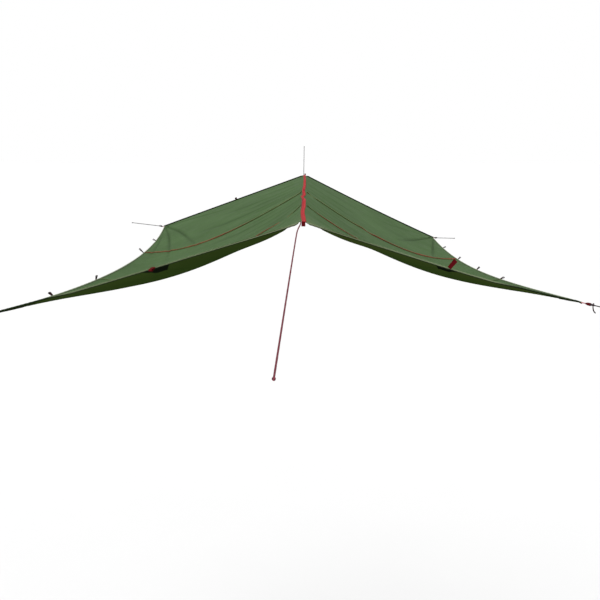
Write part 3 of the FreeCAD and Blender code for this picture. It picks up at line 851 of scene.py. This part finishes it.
def build_band():
    """The ridge webbing, sewn on a little slack, with one kink where it has bunched up."""
    low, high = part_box("ridge_band")
    steps = 900
    y = np.linspace(low.y, high.y, steps)
    x = 0.0007 * np.sin(y * 5.3) + 0.0005 * np.sin(y * 13.0 + 1.0)
    for place, reach, shift in BAND_WANDER:
        x += shift * np.exp(-(((y - place) / reach) ** 2))
    kink = np.exp(-(((y - BAND_KINK[0]) / BAND_KINK[1]) ** 2))
    z = np.full(steps, (low.z + high.z) / 2) + 0.0005 * np.sin(y * 21) + 0.004 * kink
    path = np.stack([x, y, z], 1)
    roll = 0.03 * np.sin(y * 3.7) - 0.4 * kink
    side = np.stack([np.cos(roll), np.zeros(steps), np.sin(roll)], 1)
    up = np.stack([-np.sin(roll), np.zeros(steps), np.cos(roll)], 1)
    tape = swept(path, side, up, tape_section(BAND_WIDTH, BAND_THICK))
    piece = mesh_piece("ridge_band_webbing", *tape, [RED_WEB])
    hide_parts("ridge_band")
    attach(piece, "canopy_ridge")


# ---------------------------------------------------------------- cords and what is on them


def spline_points(name, route, detail):
    """The points of the route's smooth curve, as the curve itself gives them."""
    curve = bpy.data.curves.new(name, "CURVE")
    curve.dimensions = "3D"
    curve.resolution_u = detail
    spline = curve.splines.new("NURBS")
    spline.points.add(len(route) - 1)
    for point, place in zip(spline.points, route):
        point.co = (*place, 1.0)
    spline.order_u = 3
    spline.use_endpoint_u = True
    holder = bpy.data.objects.new(name, curve)
    line = bpy.data.meshes.new_from_object(holder)
    points = np.array([vertex.co for vertex in line.vertices])
    bpy.data.objects.remove(holder)
    bpy.data.curves.remove(curve)
    bpy.data.meshes.remove(line)
    return points


def resampled(points, spacing):
    distance = travelled(points)
    count = max(4, int(distance[-1] / spacing))
    spots = np.linspace(0, distance[-1], count)
    return np.stack([np.interp(spots, distance, points[:, axis]) for axis in range(3)], 1)


def lobed_tube(path, radius, around=12, lobes=4, relief=0.07):
    """A braided cord's surface: soft lobes that wind round the line both ways."""
    side, up = frames_along(path)
    turns = np.arange(around) * 2 * math.pi / around
    distance = travelled(path)[:, None]
    twist = 2 * math.pi * distance / (radius * 26)
    wave = np.maximum(np.cos(lobes * turns + twist), np.cos(lobes * turns - twist))
    reach = radius * (1 - relief + relief * wave)
    circle = reach[..., None] * (
        np.cos(turns)[None, :, None] * side[:, None] + np.sin(turns)[None, :, None] * up[:, None]
    )
    points = (path[:, None] + circle).reshape(-1, 3)
    faces = []
    for ring in range(len(path) - 1):
        here = ring * around
        for spot in range(around):
            following = (spot + 1) % around
            faces.append((here + spot, here + following, here + around + following, here + around + spot))
    last = (len(path) - 1) * around
    faces.append(tuple(range(around))[::-1])
    faces.append(tuple(range(last, last + around)))
    lay = np.zeros((len(path), around, 2))
    lay[:, :, 0] = distance
    lay[:, :, 1] = turns * radius
    return points, faces, lay.reshape(-1, 2)


def build_cord(name, node, body, route, radius, material, spacing=0.004):
    path = resampled(spline_points(name, route, 24), spacing)
    piece = mesh_piece(name, *lobed_tube(path, radius), [material])
    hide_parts(node)
    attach(piece, body)
    return piece, path


def stopper_knot(name, node, body, end, direction, radius, material, turns=2):
    """A barrel knot pulled tight: turns of the cord round itself, with a short end past them."""
    end, direction = np.array(end, float), unit(direction)
    side = unit(np.cross(direction, (0.13, 0.2, 1.0)))
    up = np.cross(direction, side)
    angle = np.linspace(0, turns * 2 * math.pi, turns * 26)
    along = radius * (0.8 + 1.42 * angle / (2 * math.pi))
    coil = end + along[:, None] * direction
    coil = coil + 0.95 * radius * (np.cos(angle)[:, None] * side + np.sin(angle)[:, None] * up)
    core = np.stack([end + direction * 4.5 * radius * share for share in np.linspace(0, 1, 12)])
    parts = [lobed_tube(coil, radius * 0.74, 10), lobed_tube(core, radius * 0.85, 10)]
    piece = mesh_piece(name, *joined(parts), [material])
    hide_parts(node)
    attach(piece, body)
    return piece


BIGHT_HALF_WIDTH = 0.0095
WRAP_LONG = 0.006
WRAP_RADIUS = 0.0026


def cord_bight(name, body, eye, start, axis, radius, material):
    """The cord's loop through a webbing eye, closed by two turns of cord at the cord's start."""
    eye, start, axis = (np.array(vector, float) for vector in (eye, start, axis))
    reach = unit(start - eye)
    long = np.linalg.norm(start - eye)
    turns = np.linspace(0, 2 * math.pi, 48)
    across = BIGHT_HALF_WIDTH * np.sin(turns) * (1 - 0.25 * np.cos(turns))
    along = long / 2 - long / 2 * np.cos(turns)
    ring = eye + reach * along[:, None] + axis * across[:, None]
    rise = np.cross(axis, reach)
    angle = np.linspace(0, 4 * math.pi, 50)
    wrap = start + reach * (angle[:, None] / (4 * math.pi) * WRAP_LONG)
    wrap = wrap + WRAP_RADIUS * (np.cos(angle)[:, None] * axis + np.sin(angle)[:, None] * rise)
    parts = [lobed_tube(ring, radius, 8), lobed_tube(wrap, radius, 8)]
    piece = mesh_piece(name, *joined(parts), [material])
    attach(piece, body)
    return piece


LOCK_LONG = 0.014
LOCK_RADIUS = 0.0060
LOCK_BORE = 0.0033
LOCK_AROUND = 24
PLUNGER_TALL = 0.0045
PLUNGER_RADIUS = 0.0020
CAP_RADIUS = 0.0033


def build_lock(name, body, base, direction):
    """A moulded cord lock: a ribbed barrel with its way through for the cord, and a plunger."""
    base, direction = np.array(base, float), unit(direction)
    side = unit(np.cross(direction, (0.0, 0.0, 1.0)))
    up = np.cross(side, direction)
    long = LOCK_LONG
    stations = np.linspace(0, 1, 45)
    profile = LOCK_RADIUS * np.clip(np.sin(math.pi * np.clip(stations * 4, 0, 0.5)), 0.72, 1)
    profile *= np.clip(np.sin(math.pi * np.clip((1 - stations) * 4, 0, 0.5)), 0.72, 1)
    profile *= 1 - 0.06 * (np.sin(stations * 2 * math.pi * 7) > 0.4) * (abs(stations - 0.5) < 0.36)
    turns = np.arange(LOCK_AROUND) * 2 * math.pi / LOCK_AROUND
    rings = []
    for station, wide in zip(stations, profile):
        circle = np.cos(turns)[:, None] * side + np.sin(turns)[:, None] * up
        rings.append(base + direction * long * station + circle * wide)
    for mouth in (rings[-1], rings[0]):
        spokes = mouth - mouth.mean(0)
        rings.append(mouth - spokes * (1 - LOCK_BORE / np.linalg.norm(spokes, axis=1)[:, None]))
    points = np.concatenate(rings)
    faces = []
    for ring in range(len(rings)):
        here = ring * LOCK_AROUND
        ahead = (ring + 1) % len(rings) * LOCK_AROUND
        for spot in range(LOCK_AROUND):
            following = (spot + 1) % LOCK_AROUND
            faces.append((here + spot, here + following, ahead + following, ahead + spot))
    lay = np.zeros((len(points), 2))
    stem = base + direction * long * 0.5 + up * PLUNGER_TALL
    plunger = np.stack([stem + up * PLUNGER_TALL * share for share in np.linspace(0, 1, 6)])
    cap = np.stack([stem + up * (0.0040 + 0.0018 * share) for share in np.linspace(0, 1, 4)])
    parts = [
        (points, faces, lay),
        swept(plunger, side, direction, round_section(PLUNGER_RADIUS, 16)),
        swept(cap, side, direction, round_section(CAP_RADIUS, 20)),
    ]
    piece = mesh_piece(name, *joined(parts), [LOCK])
    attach(piece, body)
    return piece


# ---------------------------------------------------------------- the whole tarp

cloths = {panel_side: build_panel(panel_side) for panel_side in ("left", "right")}
for panel_side, cloth in cloths.items():
    hems = [
        build_hem(panel_side, "near", HEM_TAPE),
        build_hem(panel_side, "far", FAR_HEM_TAPE_IN_SHADE),
        build_hem(panel_side, "side", SIDE_HEM_TAPE),
    ]
    build_seam(panel_side, "far", FAR_SEAM_TALL, FAR_SEAM_TAPE)
    build_seam(panel_side, "near", NEAR_SEAM_TALL, NEAR_SEAM_TAPE)
    for patch_name in ("near_middle", "far_middle", "near_corner", "far_corner"):
        build_patch(panel_side, patch_name)
    for place in ("first", "second", "third", "fourth", "fifth", "near", "far"):
        loop_name = f"{panel_side}_{place}_loop"
        loop_from_frame(loop_name, loop_name, LOOP_WEB_IN_SHADE if place == "near" else SHADED_WEB)

build_band()
loop_from_frame("near_ridge_loop", "near_ridge_loop", LOOP_WEB_IN_SHADE)
loop_from_frame("far_ridge_loop", "far_ridge_loop", LOOP_WEB_IN_SHADE)
loop_from_frame("middle_ridge_loop", "middle_ridge_loop", RED_WEB)

# The rope's route, as its solids have it, with points beside each bend that keep its runs straight.
COVERED = 2.255
ROPE_NEAR = [
    (-0.0125, -2.310, -0.0040),
    (-0.0160, -2.345, -0.0080),
    (-0.0245, -2.405, -0.0180),
    (-0.0305, -2.530, -0.0330),
    (-0.0650, -4.088, -0.1900),
]
ROPE_FAR = [
    (-0.0125, 2.350, -0.0036),
    (-0.0125, 2.440, -0.0036),
    (-0.0123, 2.560, 0.0247),
    (-0.0110, 3.550, 0.2580),
]


def rope_point(along):
    return (ROPE_SIDE, along, ROPE_HEIGHT)


covered, covered_path = build_cord(
    "ridge_rope_braid",
    "ridge_rope",
    "ridge_rope",
    [rope_point(-COVERED), rope_point(0), rope_point(COVERED)],
    ROPE_RADIUS,
    ROPE,
    spacing=0.012,
)
for end_name, sign, places in (("near", -1, ROPE_NEAR), ("far", 1, ROPE_FAR)):
    material = ROPE if end_name == "near" else GUY
    piece, path = build_cord(
        f"rope_{end_name}_braid",
        f"rope_{end_name}_run",
        "ridge_rope",
        [rope_point(sign * COVERED), *places],
        ROPE_RADIUS,
        material,
    )
    knot = stopper_knot(
        f"rope_{end_name}_stopper",
        f"rope_{end_name}_knot",
        "ridge_rope",
        places[-1],
        np.array(places[-1]) - np.array(places[-2]),
        ROPE_RADIUS,
        material,
    )


GUY_RADIUS = 0.003
CORNERS = {
    "near_left": 0.110,
    "near_right": 0.110,
    "far_left": 0.366,
    "far_right": 0.291,
}
CORNER_NECK = 0.020
CORNER_TWIST = -1.15
# From the end of a corner loop's neck to its eye's middle, and to the start of the cord.
NECK_TO_EYE = 0.0045
NECK_TO_CORD = 0.010 + 0.0002
CORD_TO_LOCK = 0.0015
TAIL_STRETCH = 1.08


def build_corner_tab(corner, root, pull, hinge):
    """The doubled webbing sewn on the cloth's corner, which the corner loop is stitched to."""
    side = corner.split("_")[1]
    path = np.stack([root - pull * (0.0012 + 0.024 * share) for share in np.linspace(0, 1, 12)])
    up = unit(np.cross(hinge, pull))
    up = up * np.sign(up[2])
    tape = swept(path, hinge, up, tape_section(CORNER_WEB_WIDTH, 0.0024))
    piece = mesh_piece(f"{corner}_tab", *tape, [PINK_WEB])
    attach(piece, f"{side}_panel")


for corner_name, cord_long in CORNERS.items():
    swing = JOINTS[f"{corner_name}_guyline_swing"]
    pull = unit(JOINTS[f"{corner_name}_lock_slide"]["axis"])
    root = np.array(swing["pos_m"])
    hinge = unit(swing["axis"])
    body = f"{corner_name}_guyline"
    build_corner_tab(corner_name, root, pull, hinge)
    webbing = LOOP_WEB_IN_SHADE if corner_name.startswith("near") else SHADED_WEB
    sewn = (root, pull, hinge, CORNER_NECK, CORNER_WEB_WIDTH)
    build_loop(f"{corner_name}_loop", body, *sewn, webbing, twist=CORNER_TWIST)
    eye = root + pull * (CORNER_NECK + NECK_TO_EYE)
    start = root + pull * (CORNER_NECK + NECK_TO_CORD)
    end = start + pull * cord_long
    route = [tuple(start + pull * cord_long * share) for share in (0, 0.25, 0.75, 1)]
    piece, path = build_cord(
        f"{corner_name}_guy_braid", f"{corner_name}_guyline", body, route, GUY_RADIUS, GUY
    )
    knot = stopper_knot(
        f"{corner_name}_guy_stopper", f"{corner_name}_guy_knot", body, end, pull, GUY_RADIUS, GUY
    )
    bight = cord_bight(f"{corner_name}_bight", body, eye, start, hinge, GUY_RADIUS, GUY)
    lock_base = start + pull * CORD_TO_LOCK
    lock = build_lock(f"{corner_name}_lock", f"{corner_name}_cord_lock", lock_base, pull)
    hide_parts(f"{corner_name}_cord_lock")

tail_low, tail_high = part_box("near_right_tail")
tail_top = np.array(((tail_low.x + tail_high.x) / 2, (tail_low.y + tail_high.y) / 2, tail_high.z))
tail_long = TAIL_STRETCH * (tail_high.z - tail_low.z)
tail_route = [
    tuple(tail_top + np.array((bend, -forward, -drop * tail_long)))
    for bend, forward, drop in ((0, 0, 0), (0.001, 0.001, 0.35), (0.003, 0.012, 0.68), (0.005, 0.026, 0.74))
]
tail, tail_path = build_cord(
    "near_right_tail_braid",
    "near_right_tail",
    "near_right_cord_lock",
    tail_route,
    GUY_RADIUS,
    TAIL,
    spacing=0.0015,
)

# ---------------------------------------------------------------- stage, lights and camera

FLOOR_HEIGHT = -6.0
FLOOR_SIZE = 400
bpy.ops.mesh.primitive_plane_add(size=FLOOR_SIZE, location=(0, 0, FLOOR_HEIGHT))
floor = bpy.context.object
floor.name = "floor"
floor.data.materials.append(plain_floor("floor"))

world = bpy.data.worlds.new("studio")
world.use_nodes = True
world.node_tree.nodes["Background"].inputs[0].default_value = (1, 1, 1, 1)
world.node_tree.nodes["Background"].inputs[1].default_value = 1.0
bpy.context.scene.world = world
bpy.context.scene.view_settings.view_transform = "Standard"


def soft_light(name, direction, power, softness):
    light = bpy.data.lights.new(name, "SUN")
    light.energy = power
    light.angle = math.radians(softness)
    holder = bpy.data.objects.new(name, light)
    holder.rotation_euler = Vector(direction).to_track_quat("-Z", "Y").to_euler()
    bpy.context.scene.collection.objects.link(holder)


soft_light("overhead", (0.25, 0.35, -1.0), 0.85, 50)
soft_light("side", (0.8, 0.5, -0.35), 0.25, 30)

camera_data = bpy.data.cameras.new("camera")
camera_data.sensor_width = 36.0
camera_data.lens = 49.68
camera = bpy.data.objects.new("camera", camera_data)
camera.location = (0.0123, -6.013, 0.384)
camera.rotation_euler = (math.radians(90 - 11.229), 0, math.radians(0.425))
bpy.context.scene.collection.objects.link(camera)
bpy.context.scene.camera = camera
